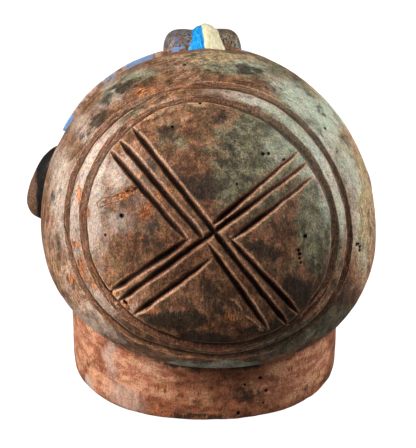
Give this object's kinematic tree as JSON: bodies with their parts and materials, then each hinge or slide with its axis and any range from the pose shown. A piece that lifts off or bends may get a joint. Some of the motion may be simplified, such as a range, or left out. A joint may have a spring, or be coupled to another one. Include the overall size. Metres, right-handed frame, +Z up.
{
  "type": "helmet mask",
  "caption": "Carved wooden helmet mask: round head with a ringed cross cut into the back, collar rim, cupped ears, calm face, crest.",
  "frame": {"origin": "on the floor under the middle of the mask's bounding box", "axes": "+Z up, the face looks along -Y, the back of the head is +Y, +X is the wearer's left"},
  "size_m": [0.3206, 0.3312, 0.3025],
  "materials": {
    "wood": "old carved wood with a dark worn patina, traces of blue and cream paint"
  },
  "bodies": {
    "root": {"helmet_mask": "wood"}
  },
  "joints": []
}
